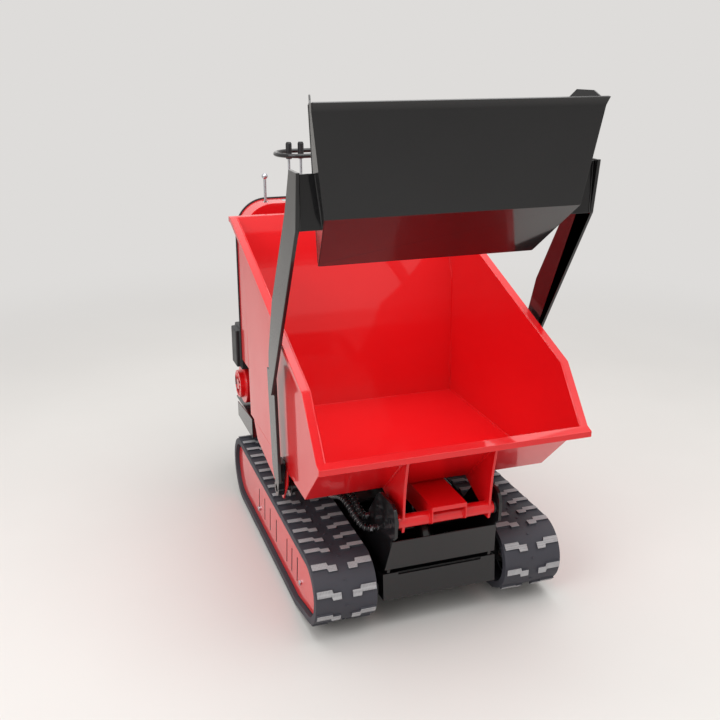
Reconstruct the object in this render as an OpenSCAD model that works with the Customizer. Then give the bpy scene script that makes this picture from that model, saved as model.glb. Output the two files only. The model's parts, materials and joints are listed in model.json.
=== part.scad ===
// Tracked power carrier with a forward-tipping skip and a self-loading shovel.
// X is the width, the front faces -Y, Z is up and the tracks stand on z = 0.
// Sizes are in millimetres. Lengths along Y are measured from the tips of the
// hinge gussets and heights from a level a little above the ground, and every
// part is then moved so that the origin is at the middle of the base.

/* [Tracks] */
// Ground below the level that heights are measured from
ground_z = -20; // [-24:1:-16]
// Centre line of the machine to the middle of each track
track_x = 305; // [295:1:315]
// Width of the rubber belt
track_w = 190; // [180:1:192]
// Thickness of the belt without its lugs
belt_t = 22; // [20:1:24]
// Height of the lugs
lug_h = 6; // [5:1:8]
// Rows of lugs round the belt
lug_rows = 37; // [36:1:38]
// Part of a row by which the left belt has run on
left_phase = 0.27; // [0:0.01:0.99]
// Part of a row by which the right belt has run on
right_phase = 0.80; // [0:0.01:0.99]
// Front idler axle along Y
idler_y = 117; // [115:1:119]
// Front idler axle height
idler_z = 122; // [120:1:124]
// Idler radius at the belt's inner face
idler_r = 84; // [82:1:86]
// Drive axle along Y
sprocket_y = 1015; // [1010:1:1020]
// Sprocket radius at the belt's inner face
sprocket_r = 101; // [99:1:102]
// Radius of the ground rollers
roller_r = 40; // [36:1:42]
// Front ground roller along Y
front_roller_y = 255; // [250:1:260]
// Rear ground roller along Y
rear_roller_y = 640; // [600:1:680]

/* [Chassis] */
// Inner face of each chassis side plate
plate_x = 160; // [158:1:162]
// Thickness of the chassis side plates
plate_t = 10; // [8:1:10]
// Top of the deck
deck_z = 270; // [266:1:274]
// Underside of the belly plate
belly_z = 88; // [86:1:92]
// Skip hinge axis along Y
hinge_y = 15; // [12:1:18]
// Skip hinge axis height
hinge_z = 353; // [350:1:356]
// Radius of the hinge pin
hinge_pin_r = 12.5; // [10:0.5:14]
// Radius of the rounded back of each upright
upright_r = 66; // [62:1:68]

/* [Skip] */
// Inner half width of the skip
skip_half_w = 386; // [382:1:388]
// Thickness of the skip's sheet
sheet_t = 4; // [3:0.5:5]
// Height of the skip floor
floor_z = 406; // [402:1:410]
// Front edge of the floor
floor_front_y = 145; // [140:1:150]
// Rear edge of the floor
floor_rear_y = 845; // [835:1:850]
// Bend in the rear wall along Y
bend_y = 856; // [850:1:860]
// Bend in the rear wall, height
bend_z = 841; // [820:1:860]
// Rear top edge along Y
rear_top_y = 955; // [945:1:965]
// Rear top edge height
rear_top_z = 1093; // [1080:1:1105]
// Corner of the side's top edge along Y
kink_y = 70; // [60:1:80]
// Corner of the side's top edge, height
kink_z = 764; // [750:1:780]
// Front lip along Y
lip_y = -60; // [-65:1:-55]
// Front lip height
lip_z = 608; // [600:1:616]
// Width of the folded rim
rim_w = 23; // [18:1:24]
// Depth of the rim's turned-down edge
rim_drop = 18; // [12:1:20]
// Tipping angle of the skip
skip_tilt = 65; // [50:1:65]

/* [Loader] */
// Loader pivot along Y
pivot_y = 400; // [396:1:404]
// Loader pivot height
pivot_z = 323; // [320:1:326]
// Outer face of each loader arm
arm_x = 432; // [428:1:448]
// Thickness of the arm's flat bar
arm_t = 10; // [8:1:10]
// Swing of the loader from raised to the ground
loader_swing = 83.5; // [80:0.5:83.5]
// Radius of the loader crank
crank_r = 60; // [58:1:62]
// Thickness of the shovel's sheet
shovel_t = 5; // [4:0.5:6]

/* [Console] */
// Half width of the console hood
hood_half_w = 345; // [335:1:350]
// Top of the console hood
hood_top_z = 1115; // [1105:1:1120]
// Radius of the hood's top corners
hood_corner_r = 115; // [100:1:120]
// Front face of the hood
hood_front_y = 1070; // [1065:1:1075]
// Rear edge of the hood
hood_rear_y = 1180; // [1178:1:1182]
// Half the spacing of the handlebar tubes
handle_x = 200; // [195:1:205]
// Height of the handlebar tubes
handle_z = 1028; // [1020:1:1035]
// Rear end of the grips
grip_end_y = 1500; // [1490:1:1520]

/* [Engine] */
// Crankshaft axis along Y
crank_axis_y = 1290; // [1286:1:1294]
// Crankshaft axis height
crank_axis_z = 360; // [358:1:364]
// Radius of the engine pulley
engine_pulley_r = 45; // [40:1:46]
// Radius of the gearbox pulley
gearbox_pulley_r = 50; // [46:1:50]
// Gearbox input shaft along Y
input_y = 960; // [956:1:962]
// Gearbox input shaft height
input_z = 205; // [202:1:206]

/* [Hidden] */
$fn = 64;
fit = 0.05;                 // radial clearance of a turning pair
gap = 0.4;                  // clearance between a wheel and the belt
eps = 0.02;                 // clearance of a fixed pair
cut = 1;                    // overshoot of a cutting tool
red = "#d81619";
black = "#2a2a2c";
rubber = "#2b2b31";
zinc = "#c8c8cc";
steel = "#8c8f94";
brass_zinc = "#b9a878";

lip_flange = 24;            // reach of the front lip's fold
front_y = lip_y - lip_flange;
mid_y = (front_y + grip_end_y) / 2;

skip_outer_w = skip_half_w + sheet_t;
floor_under_z = floor_z - sheet_t;
lip = [lip_y, lip_z];
kink = [kink_y, kink_z];
rear_top = [rear_top_y, rear_top_z];
tub_path = [lip, [floor_front_y, floor_z], [floor_rear_y, floor_z], [bend_y, bend_z], rear_top];

// Wheels that shape the belt, anticlockwise from the front ground roller: [axle, radius]
ground_in = ground_z + lug_h + belt_t;
cord_d = 3;                 // cords outside the belt's inner face
roller_z = ground_in + roller_r;
sprocket_z = ground_in + sprocket_r;
wheels = [
    [[front_roller_y, roller_z], roller_r],
    [[sprocket_y, sprocket_z], sprocket_r],
    [[idler_y, idler_z], idler_r]
];
wheel_half_w = 42;
frame_in = 46;              // inner face of a track frame plate from the track's middle
frame_t = 6;
groove_half_w = 18;         // sprocket groove in the belt
groove_d = 13;
cover_in = 79;              // inner face of a track cover from the track's middle
cover_t = 2.5;
roller_pin_r = 8;
idler_pin_r = 10;
shaft_r = 15;
pulley_x = 136;             // plane of the drive belt

// Tip cylinder: its ends are equally far from the hinge, so it turns half as far as the skip
ram_reach = 240;
ram_foot = [113, 134];
ram_head = [hinge_y + ram_reach * cos(-2), hinge_z + ram_reach * sin(-2)];
ram_rest = norm(ram_head - ram_foot);
ram_lean = atan2(ram_head[0] - ram_foot[0], ram_head[1] - ram_foot[1]);
ram_slot = 16;
ram_pin_r = 10;

// Loader crank: the pin swings equally to both sides of upright
crank_rest = loader_swing / 2;
crank_pin = [pivot_y + crank_r * sin(crank_rest), pivot_z + crank_r * cos(crank_rest)];
crank_pin_r = 8;
loader_rod_z = pivot_z + crank_r * (1 + cos(crank_rest)) / 2;
journal_r = 12;
cover_sheet = 4;

// Moves a part from the gusset datum to the row's origin
module datum() translate([0, -mid_y, -ground_z]) children();

// Draws its children on the right and mirrored on the left
module both() {
    children();
    mirror([1, 0, 0]) children();
}

// Draws a right-hand part on the given side
module on_side(side) mirror([side < 0 ? 1 : 0, 0, 0]) children();

// Extrudes a [y, z] outline along X from x0 to x1
module along_x(x0, x1) translate([x0, 0, 0]) rotate([90, 0, 90]) linear_extrude(x1 - x0) children();

// Extrudes an [x, z] outline along Y from y0 to y1
module along_y(y0, y1) translate([0, y1, 0]) rotate([90, 0, 0]) linear_extrude(y1 - y0) children();

module rod_x(r, x0, x1, y, z) translate([x0, y, z]) rotate([0, 90, 0]) cylinder(r = r, h = x1 - x0);
module rod_y(r, y0, y1, x, z) translate([x, y0, z]) rotate([-90, 0, 0]) cylinder(r = r, h = y1 - y0);
module rod_z(r, z0, z1, x, y) translate([x, y, z0]) cylinder(r = r, h = z1 - z0);
module block(a, b) translate(a) cube(b - a);

// Points of an open path moved to its right by d, with mitred corners
function unit(v) = v / norm(v);
function right_of(v) = [v[1], -v[0]];
function miter(a, b, d) = (a + b) * d / (1 + a * b);
function offset_path(p, d) = [
    for (i = [0:len(p) - 1])
        let (a = right_of(unit(i > 0 ? p[i] - p[i - 1] : p[1] - p[0])))
        let (b = right_of(unit(i < len(p) - 1 ? p[i + 1] - p[i] : p[i] - p[i - 1])))
        p[i] + miter(a, b, d)
];
function reversed(p) = [for (i = [len(p) - 1:-1:0]) p[i]];

// Belt geometry: heading of each straight run and its outward normal
function heading(a, b) =
    atan2(b[0][1] - a[0][1], b[0][0] - a[0][0]) + asin((a[1] - b[1]) / norm(b[0] - a[0]));
function outward(h) = [sin(h), -cos(h)];
function next(i) = (i + 1) % len(wheels);
runs = [for (i = [0:len(wheels) - 1]) (heading(wheels[i], wheels[next(i)]) + 360) % 360];
function leaves(i, d) = wheels[i][0] + (wheels[i][1] + d) * outward(runs[i]);
function arrives(i, d) = wheels[next(i)][0] + (wheels[next(i)][1] + d) * outward(runs[i]);
function turn(i) = (runs[next(i)] - runs[i] + 360) % 360;
function piece_len(k, d) =
    let (i = floor(k / 2))
    k % 2 == 0 ? norm(arrives(i, d) - leaves(i, d)) : (wheels[next(i)][1] + d) * turn(i) * PI / 180;
function sum_to(k, d) = k < 0 ? 0 : piece_len(k, d) + sum_to(k - 1, d);
belt_len = sum_to(2 * len(wheels) - 1, cord_d);

// Place on the belt's outer face and heading at the distance s along its cords
function belt_pose(s, k = 0) =
    let (i = floor(k / 2), l = piece_len(k, cord_d), wheel = wheels[next(i)])
    s > l ? belt_pose(s - l, k + 1)
    : k % 2 == 0 ? [leaves(i, belt_t) + s * [cos(runs[i]), sin(runs[i])], runs[i]]
    : let (h = runs[i] + s / (wheel[1] + cord_d) * 180 / PI) [wheel[0] + (wheel[1] + belt_t) * outward(h), h];

// Points round the wheel after run i, at the distance d outside the belt's inner face
arc_step = 6;
function wheel_arc(i, d) =
    let (n = ceil(turn(i) / arc_step))
    [for (k = [0:n]) wheels[next(i)][0] + (wheels[next(i)][1] + d) * outward(runs[i] + turn(i) * k / n)];

// Outline of the belt's inner face moved outwards by d
module belt_outline(d) polygon([for (i = [0:len(wheels) - 1]) each wheel_arc(i, d)]);

// One Z-shaped half lug, standing on the belt's outer face towards -Z
module half_lug() {
    sunk = 3;
    translate([0, 0, -lug_h]) linear_extrude(lug_h + sunk)
        polygon([
            [91, -10.5], [91, 10.5], [47, 10.5], [44, 21.5], [17, 21.5], [17, 0.5], [41, 0.5], [44, -10.5]
        ]);
}

module track(side) color(rubber) datum() on_side(side) translate([track_x, 0, 0]) {
    half_w = track_w / 2;
    phase = side < 0 ? left_phase : right_phase;
    difference() {
        along_x(-half_w, half_w) belt_outline(belt_t);
        along_x(-half_w - cut, half_w + cut) belt_outline(0);
        along_x(-groove_half_w, groove_half_w) belt_outline(groove_d);
    }
    for (k = [0:lug_rows - 1]) {
        pose = belt_pose((k + phase) * belt_len / lug_rows);
        translate([0, pose[0][0], pose[0][1]]) rotate([pose[1], 0, 0]) both() half_lug();
    }
}
module track_left() track(-1);
module track_right() track(1);

frame_outline = [
    [68, 105], [68, 151], [240, 190], [870, 190], [885, 130], [850, 30], [240, 30], [190, 57]
];
cover_bolt_places = [[222, 78], [773, 62]];

// Folded frame inside a track that carries the idler and the rollers
module track_frame(side) color(black) datum() on_side(side) translate([track_x, 0, 0]) difference() {
    union() {
        both() along_x(frame_in, frame_in + frame_t) polygon(frame_outline);
        block([-frame_in, 300, 184], [frame_in, 850, 190]);
    }
    for (y = [front_roller_y, rear_roller_y]) rod_x(roller_pin_r + eps, -99, 99, y, roller_z);
    rod_x(idler_pin_r + eps, -99, 99, idler_y, idler_z);
}
module track_frame_left() track_frame(-1);
module track_frame_right() track_frame(1);

// Ground roller with flanged ends on its pin
module roller(side, y) color(steel) datum() on_side(side) translate([track_x, y, roller_z]) difference() {
    union() {
        rod_x(roller_r - 8, -wheel_half_w, wheel_half_w, 0, 0);
        both() rod_x(roller_r - gap, 20, wheel_half_w, 0, 0);
    }
    rod_x(roller_pin_r + fit, -99, 99, 0, 0);
}
module roller_left_front() roller(-1, front_roller_y);
module roller_left_rear() roller(-1, rear_roller_y);
module roller_right_front() roller(1, front_roller_y);
module roller_right_rear() roller(1, rear_roller_y);

// Front idler with a dished web on both sides
module idler(side) color(steel) datum() on_side(side) translate([track_x, idler_y, idler_z]) difference() {
    rod_x(idler_r - gap, -wheel_half_w, wheel_half_w, 0, 0);
    both() difference() {
        rod_x(idler_r - 12, 12, 99, 0, 0);
        rod_x(24, 0, wheel_half_w, 0, 0);
    }
    rod_x(idler_pin_r + fit, -99, 99, 0, 0);
}
module idler_left() idler(-1);
module idler_right() idler(1);

// Drive sprocket: a drum, a ring of teeth in the belt's groove and the half shaft
module sprocket(side) color(steel) datum() on_side(side) translate([track_x, sprocket_y, sprocket_z]) {
    teeth = 10;
    tooth_half_w = 15;
    tooth_r = sprocket_r + 10;
    shaft_in = -217;
    rod_x(sprocket_r - gap, -wheel_half_w, wheel_half_w, 0, 0);
    rod_x(shaft_r, shaft_in, 52, 0, 0);
    along_x(-tooth_half_w, tooth_half_w) for (i = [0:teeth - 1]) rotate(i * 360 / teeth)
        polygon([[60, -14], [tooth_r, -6], [tooth_r, 6], [60, 14]]);
}
module sprocket_left() sprocket(-1);
module sprocket_right() sprocket(1);

// Pins of the rollers and idlers, each with a collar at both ends
module roller_pins() color(zinc) datum() both() translate([track_x, 0, 0]) {
    for (p = [[front_roller_y, roller_z, roller_pin_r], [rear_roller_y, roller_z, roller_pin_r],
              [idler_y, idler_z, idler_pin_r]]) {
        rod_x(p[2], -frame_in - frame_t, frame_in + frame_t, p[0], p[1]);
        both() rod_x(p[2] + 5, frame_in + frame_t, frame_in + frame_t + 6, p[0], p[1]);
    }
}

// Red side cover inside the track, with a turned-in edge and ventilation slots
module track_cover(side) color(red) datum() on_side(side) translate([track_x, 0, 0]) {
    inset = -5;
    fold = 12;
    slot_top = [[770, 142], [688, 142], [610, 142], [524, 142], [384, 144], [322, 144], [258, 146]];
    slot_drop = 88;
    slot_lean = 10;
    slot_half_w = 4.5;
    difference() {
        along_x(cover_in, cover_in + cover_t) belt_outline(inset);
        for (s = slot_top) along_x(cover_in - cut, cover_in + cover_t + cut) polygon([
            [s[0] - slot_half_w, s[1]], [s[0] + slot_half_w, s[1]],
            [s[0] + slot_lean + slot_half_w, s[1] - slot_drop],
            [s[0] + slot_lean - slot_half_w, s[1] - slot_drop]
        ]);
        for (p = cover_bolt_places) rod_x(5 + eps, 0, 99, p[0], p[1]);
    }
    along_x(cover_in - fold, cover_in) difference() {
        belt_outline(inset);
        belt_outline(inset - 3);
    }
}
module track_cover_left() track_cover(-1);
module track_cover_right() track_cover(1);

// Front cover lines, given as their outer faces
upper_top = [8, 292];
upper_low = [35, 186];
lower_top = [38, 171];
lower_low = [31, 84];
function inward(a, b) = right_of(unit(a - b));
// Round corner about c from the angle a0 to a1
function corner(c, r, a0, a1) =
    let (n = ceil(abs(a1 - a0) / arc_step))
    [for (k = [0:n]) let (a = a0 + (a1 - a0) * k / n) c + r * [cos(a), sin(a)]];
upright_nose = [hinge_y + 7, hinge_z + 20];
upright_nose_r = 40;
upright_back = [hinge_y + 70, hinge_z - 8];
side_outline = concat(
    [
        [lower_low[0] + cover_sheet + 4, belly_z], [lower_top[0] + cover_sheet, 171],
        upper_low + cover_sheet * inward(upper_top, upper_low),
        upper_top + cover_sheet * inward(upper_top, upper_low),
        [hinge_y - 31, hinge_z - 35]
    ],
    corner(upright_nose, upright_nose_r, 180, 93),
    corner(upright_back, upright_r, 93, 40),
    [[240, deck_z - 8], [1390, deck_z - 8], [1390, 226], [930, 226], [880, belly_z]]
);

// Lugs on the belly plate that hold the foot of the tip cylinder
module ram_lugs() both() along_x(22, 32) {
    translate(ram_foot) circle(r = 24);
    polygon([[80, 93], [150, 93], [ram_foot[0] + 20, ram_foot[1]], [ram_foot[0] - 20, ram_foot[1]]]);
}

// Welded frame: side plates with hinge uprights, belly, deck, cross tubes and console posts
module chassis_frame() color(black) datum() difference() {
    union() {
        both() along_x(plate_x, plate_x + plate_t) polygon(side_outline);
        block([-plate_x, 58, belly_z], [plate_x, 880, belly_z + 6]);
        block([-plate_x, 58, belly_z], [plate_x, 64, 190]);
        block([-plate_x - plate_t, 330, deck_z - 8], [plate_x + plate_t, 960, deck_z]);
        block([-330, 960, deck_z - 8], [330, 1400, deck_z]);
        for (y = [330, 740]) rod_x(25, -track_x + frame_in + frame_t, track_x - frame_in - frame_t, y, 140);
        ram_lugs();
        both() block([handle_x - 20, 1110, deck_z], [handle_x + 20, 1150, handle_z + 44]);
        block([-handle_x + 20, 1115, 1000], [handle_x - 20, 1145, 1030]);
        rod_x(4, -254, -handle_x - 20, gear_pivot[1], gear_pivot[2]);
    }
    rod_x(hinge_pin_r + eps, -plate_x - plate_t - cut, plate_x + plate_t + cut, hinge_y, hinge_z);
    rod_x(ram_pin_r + eps, -40, 40, ram_foot[0], ram_foot[1]);
    block([pulley_x - 14, 930, deck_z - 8 - cut], [pulley_x + 14, 1245, deck_z + cut]);
    both() rod_z(4 + eps, belly_z - cut, belly_z + 20, 154, 66);
}

// Leaning front cover between the uprights, wider at its foot
module front_cover_upper() color(black) datum() {
    lean = atan2(upper_low[0] - upper_top[0], upper_top[1] - upper_low[1]);
    drop = norm(upper_top - upper_low);
    translate([0, upper_top[0], upper_top[1]]) rotate([90 + lean, 0, 0]) mirror([0, 0, 1]) {
        linear_extrude(cover_sheet) polygon([[-167, 0], [167, 0], [180, -drop], [-180, -drop]]);
    }
}

// Lower front cover: a plate with a notched top edge, side returns and a bottom flange
module front_cover_lower() color(black) datum() difference() {
    half_w = 184;
    notch_half_w = 135;
    notch_d = 8;
    union() {
        along_x(-half_w, half_w) polygon([
            lower_top, lower_low, [78, lower_low[1]], [78, belly_z], [lower_low[0] + 4.3, belly_z],
            lower_top + [cover_sheet, 0]
        ]);
        both() along_x(half_w - cover_sheet, half_w) polygon([
            lower_top, lower_low, [78, lower_low[1]], [78, lower_top[1] - 10]
        ]);
    }
    block([-notch_half_w, 0, lower_top[1] - notch_d], [notch_half_w, 60, 200]);
    both() rod_z(4 + eps, 0, 120, 154, 66);
}

// Hexagon-head bolts of the lower cover and the track covers
module panel_bolts() color(zinc) datum() {
    both() {
        rod_z(4, lower_low[1], belly_z + 14, 154, 66);
        translate([154, 66, lower_low[1] - 6]) cylinder(r = 8, h = 6, $fn = 6);
    }
    both() for (p = cover_bolt_places) translate([track_x, p[0], p[1]]) rotate([0, 90, 0]) {
        translate([0, 0, frame_in + frame_t]) cylinder(r = 5, h = cover_in + cover_t - frame_in - frame_t);
        translate([0, 0, cover_in + cover_t]) cylinder(r = 9, h = 6, $fn = 6);
    }
}

// Hinge pin with a thrust washer at each upright, and the tip cylinder's foot pin
module hinge_pins() color(brass_zinc) datum() {
    reach = plate_x + plate_t;
    rod_x(hinge_pin_r, -reach, reach, hinge_y, hinge_z);
    both() difference() {
        rod_x(22, tube_half_w + 0.5, plate_x - 0.5, hinge_y, hinge_z);
        rod_x(hinge_pin_r + eps, 0, 200, hinge_y, hinge_z);
    }
    rod_x(ram_pin_r, -38, 38, ram_foot[0], ram_foot[1]);
}

// Gearbox under the deck with bores for both half shafts and the input shaft
module gearbox() color(steel) datum() difference() {
    union() {
        block([-105, 925, 58], [105, 1085, 232]);
        block([-80, 940, 232], [80, 1070, deck_z - 8]);
        both() rod_x(30, 105, 120, sprocket_y, sprocket_z);
        rod_x(24, 105, 120, input_y, input_z);
    }
    both() rod_x(shaft_r + fit, 85, 121, sprocket_y, sprocket_z);
    rod_x(10 + fit, 60, 121, input_y, input_z);
}

// Grooved pulley on its shaft
module pulley(r, shaft, shaft_x0, y, z) {
    rod_x(shaft, shaft_x0, pulley_x + 10, y, z);
    rod_x(r - gap, pulley_x - 8, pulley_x + 8, y, z);
    for (x = [-10, 8]) rod_x(r + 4, pulley_x + x, pulley_x + x + 2, y, z);
}
module engine_pulley() color(steel) datum() pulley(engine_pulley_r, 12.5, -55, crank_axis_y, crank_axis_z);
module gearbox_pulley() color(steel) datum() pulley(gearbox_pulley_r, 10, 62, input_y, input_z);

// Drive belt round both pulleys
belt_wheels = [[[input_y, input_z], gearbox_pulley_r], [[crank_axis_y, crank_axis_z], engine_pulley_r]];
belt_h = [heading(belt_wheels[0], belt_wheels[1]), heading(belt_wheels[1], belt_wheels[0])];
module drive_outline(d) {
    for (w = belt_wheels) translate(w[0]) circle(r = w[1] + d);
    polygon([for (i = [0, 1]) each [
        belt_wheels[i][0] + (belt_wheels[i][1] + d) * outward(belt_h[i]),
        belt_wheels[1 - i][0] + (belt_wheels[1 - i][1] + d) * outward(belt_h[i])
    ]]);
}
module drive_belt() color(rubber) datum() along_x(pulley_x - 7, pulley_x + 7) difference() {
    drive_outline(9);
    drive_outline(0);
}

// Engine block with the crankcase, the finned barrel and the crankshaft bore
module engine_block() color(steel) datum() difference() {
    union() {
        block([-240, 1205, deck_z], [-20, 1375, deck_z + 20]);
        block([-230, 1215, deck_z + 20], [-30, 1365, 420]);
        for (z = [420:10:460]) block([-220, 1210, z], [-40, 1370, z + 5]);
        block([-210, 1225, 420], [-50, 1355, 478]);
        block([-240, 1230, 330], [-230, 1350, 470]);
    }
    rod_x(12.5 + fit, -60, 0, crank_axis_y, crank_axis_z);
}

// Red fan cover with the recoil starter's ring
module fan_cover() color(red) datum() difference() {
    union() {
        rod_x(80, -325, -240, crank_axis_y, crank_axis_z);
        rod_x(56, -345, -325, crank_axis_y, crank_axis_z);
        block([-310, crank_axis_y + 60, 385], [-260, crank_axis_y + 92, 425]);
    }
    for (a = [0:30:330]) translate([-346, crank_axis_y, crank_axis_z]) rotate([a, 0, 0])
        block([0, -5, 24], [12, 5, 46]);
    rod_y(6, crank_axis_y + 70, crank_axis_y + 100, -285, 405);
}

// Starter handle: a cross bar on a short stem
module recoil_handle() color(black) datum() {
    rod_y(5, crank_axis_y + 74, crank_axis_y + 112, -285, 405);
    rod_x(9, -320, -250, crank_axis_y + 120, 405);
}

tank_low = [-228, 1200, 478];
tank_high = [-8, 1388, 588];
tank_mid = (tank_low + tank_high) / 2;
module fuel_tank() color(black) datum() {
    round_r = 24;
    half = (tank_high - tank_low) / 2 - [round_r, round_r, 0];
    hull() for (x = [-half[0], half[0]], y = [-half[1], half[1]])
        translate([tank_mid[0] + x, tank_mid[1] + y, tank_low[2]]) {
            cylinder(r = round_r, h = 88, $fn = 32);
            cylinder(r = round_r - 14, h = 110, $fn = 32);
        }
    rod_z(20, tank_high[2] - cut, tank_high[2] + 10, tank_mid[0], tank_mid[1]);
}
module fuel_cap() color(black) datum() difference() {
    rod_z(27, tank_high[2] + 10.5, tank_high[2] + 30, tank_mid[0], tank_mid[1]);
    for (a = [0:30:330]) translate([tank_mid[0], tank_mid[1], tank_high[2]]) rotate(a)
        rod_z(2.5, 0, 40, 28, 0);
}

// Silencer box on the exhaust side, with its pipe and tail
module muffler() color(steel) datum() {
    block([-8, 1255, 432], [120, 1375, 540]);
    rod_y(14, 1375, 1400, 80, 505);
    block([-40, 1290, 440], [-8, 1340, 470]);
}

// Air filter box with a domed cover and its intake elbow
module air_filter() color(black) datum() {
    block([-345, 1195, 450], [-262, 1300, 618]);
    block([-362, 1205, 460], [-345, 1290, 608]);
    block([-262, 1230, 450], [-240, 1270, 470]);
}

module hydraulic_pump() color(steel) datum() {
    rod_x(34, -150, -105, input_y, 190);
    block([-158, input_y - 22, 160], [-150, input_y + 22, 220]);
}
module hydraulic_tank() color(black) datum() {
    block([215, 1205, deck_z], [325, 1385, 430]);
    rod_z(18, 430, 444, 270, 1250);
}

lever_pivot = [0, 1140, 1092];
lever_x = [-150, -105];
lever_top_z = 1300;
// Two-spool valve with a hinge pin for both levers
module control_valve() color(steel) datum() {
    block([-175, 1116, 1030], [-80, 1144, 1074]);
    for (x = [-175, -131.5, -88]) difference() {
        block([x, 1116, 1074], [x + 8, 1152, 1100]);
    }
    rod_x(4, -175, -80, lever_pivot[1], lever_pivot[2]);
}
// Hub and rod of a valve lever
module valve_lever(x) {
    difference() {
        union() {
            rod_x(9, x - 7, x + 7, lever_pivot[1], lever_pivot[2]);
            rod_z(4.5, lever_pivot[2], lever_top_z, x, lever_pivot[1]);
        }
        rod_x(4 + fit, x - 9, x + 9, lever_pivot[1], lever_pivot[2]);
    }
}
module lever_grip(x) difference() {
    union() {
        rod_z(11, 1262, 1318, x, lever_pivot[1]);
        rod_z(9, 1318, 1322, x, lever_pivot[1]);
    }
    rod_z(4.5 + eps, 1261, lever_top_z + eps, x, lever_pivot[1]);
}
module tip_lever() color(zinc) datum() valve_lever(lever_x[0]);
module tip_lever_grip() color(black) datum() lever_grip(lever_x[0]);
module loader_lever() color(zinc) datum() valve_lever(lever_x[1]);
module loader_lever_grip() color(black) datum() lever_grip(lever_x[1]);

gear_pivot = [-245, 1130, 1060];
module gear_lever() color(zinc) datum() difference() {
    union() {
        rod_x(9, gear_pivot[0] - 8, gear_pivot[0] + 8, gear_pivot[1], gear_pivot[2]);
        rod_z(5, gear_pivot[2], 1200, gear_pivot[0], gear_pivot[1]);
        translate([gear_pivot[0], gear_pivot[1], 1205]) sphere(r = 11);
    }
    rod_x(4 + fit, -260, -230, gear_pivot[1], gear_pivot[2]);
}

// Arch with round top corners, from the hood's foot to its top, grown by d
hood_foot_z = 498;
module hood_arch(d) {
    r = hood_corner_r + d;
    for (s = [-1, 1])
        translate([s * (hood_half_w - hood_corner_r), hood_top_z - hood_corner_r]) circle(r = r);
    translate([-hood_half_w + hood_corner_r, hood_foot_z])
        square([2 * (hood_half_w - hood_corner_r), hood_top_z + d - hood_foot_z]);
    translate([-hood_half_w - d, hood_foot_z])
        square([2 * (hood_half_w + d), hood_top_z - hood_corner_r - hood_foot_z]);
}

// Sheet-metal console: a front sheet and an arched skirt, open below and behind
module console_hood() color(red) datum() difference() {
    along_y(hood_front_y, hood_rear_y) hood_arch(0);
    along_y(hood_front_y + 3, hood_rear_y + cut) intersection() {
        hood_arch(-3);
        translate([-400, hood_foot_z - 50]) square([800, 800]);
    }
    block([-330, hood_front_y + 3, hood_foot_z - cut], [330, hood_rear_y + cut, hood_foot_z + 60]);
    block([-182, 1112, hood_top_z - 10], [-73, 1170, hood_top_z + cut]);
    block([gear_pivot[0] - 9, 1108, hood_top_z - 20], [gear_pivot[0] + 9, 1152, hood_top_z + cut]);
}

// Rubber edging along the hood's rear edge
module console_trim() color(black) datum() along_y(hood_rear_y, hood_rear_y + 8) difference() {
    hood_arch(5);
    translate([0, -cut]) hood_arch(-5);
}

// Two handlebar tubes from the posts, joined by a cross tube
module handlebar() color(black) datum() {
    both() rod_y(14, 1150, 1440, handle_x, handle_z);
    rod_x(10, -handle_x, handle_x, 1330, handle_z);
    both() block([handle_x - 8, 1362, handle_z - 46], [handle_x + 8, 1384, handle_z - 10]);
    both() rod_x(4, handle_x - 14, handle_x + 14, clutch_pivot[0], clutch_pivot[1]);
}
module handle_grips() color(black) datum() both() difference() {
    rod_y(18, 1390, grip_end_y, handle_x, handle_z);
    rod_y(14 + eps, 1389, 1440 + eps, handle_x, handle_z);
}

clutch_pivot = [1373, handle_z - 38];
// Forked clutch lever below a grip
module clutch_lever(side) color(zinc) datum() on_side(side) {
    blade_z = clutch_pivot[1] - 14;
    difference() {
        union() {
            both_cheeks() rod_x(9, 9, 13, clutch_pivot[0], clutch_pivot[1]);
            both_cheeks() along_x(9, 13) translate([0, clutch_pivot[1]])
                polygon([[1373, -9], [1373, 9], [1400, -8], [1400, -20], [1385, -20]]);
            block([handle_x - 13, 1396, blade_z - 6], [handle_x + 13, 1486, blade_z]);
        }
        rod_x(4 + fit, handle_x - 20, handle_x + 20, clutch_pivot[0], clutch_pivot[1]);
    }
}
module both_cheeks() translate([handle_x, 0, 0]) both() children();
module clutch_lever_left() clutch_lever(-1);
module clutch_lever_right() clutch_lever(1);

// Hoop round the valve levers on two short posts
module lever_guard() color(black) datum() {
    tube = 8;
    hoop_z = 1278;
    front = 1076;
    rear = 1250;
    bend = (rear - front) / 2;
    straight = 105;
    for (y = [front, rear]) rod_x(tube, -straight, straight, y, hoop_z);
    both() translate([straight, front + bend, hoop_z]) rotate(-90)
        rotate_extrude(angle = 180) translate([bend, 0]) circle(r = tube, $fn = 32);
    both() rod_z(8, hood_top_z, hoop_z, 60, front + 4);
}

// Black trays beside the engine, each with an upturned outer edge
module deck_trays() color(black) datum() both() {
    tray_x = 370;
    block([222, 930, deck_z], [tray_x, 1180, deck_z + 4]);
    along_x(tray_x - 4, tray_x) polygon([[930, deck_z + 4], [1180, deck_z + 4], [1180, 328], [930, 348]]);
}

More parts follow.
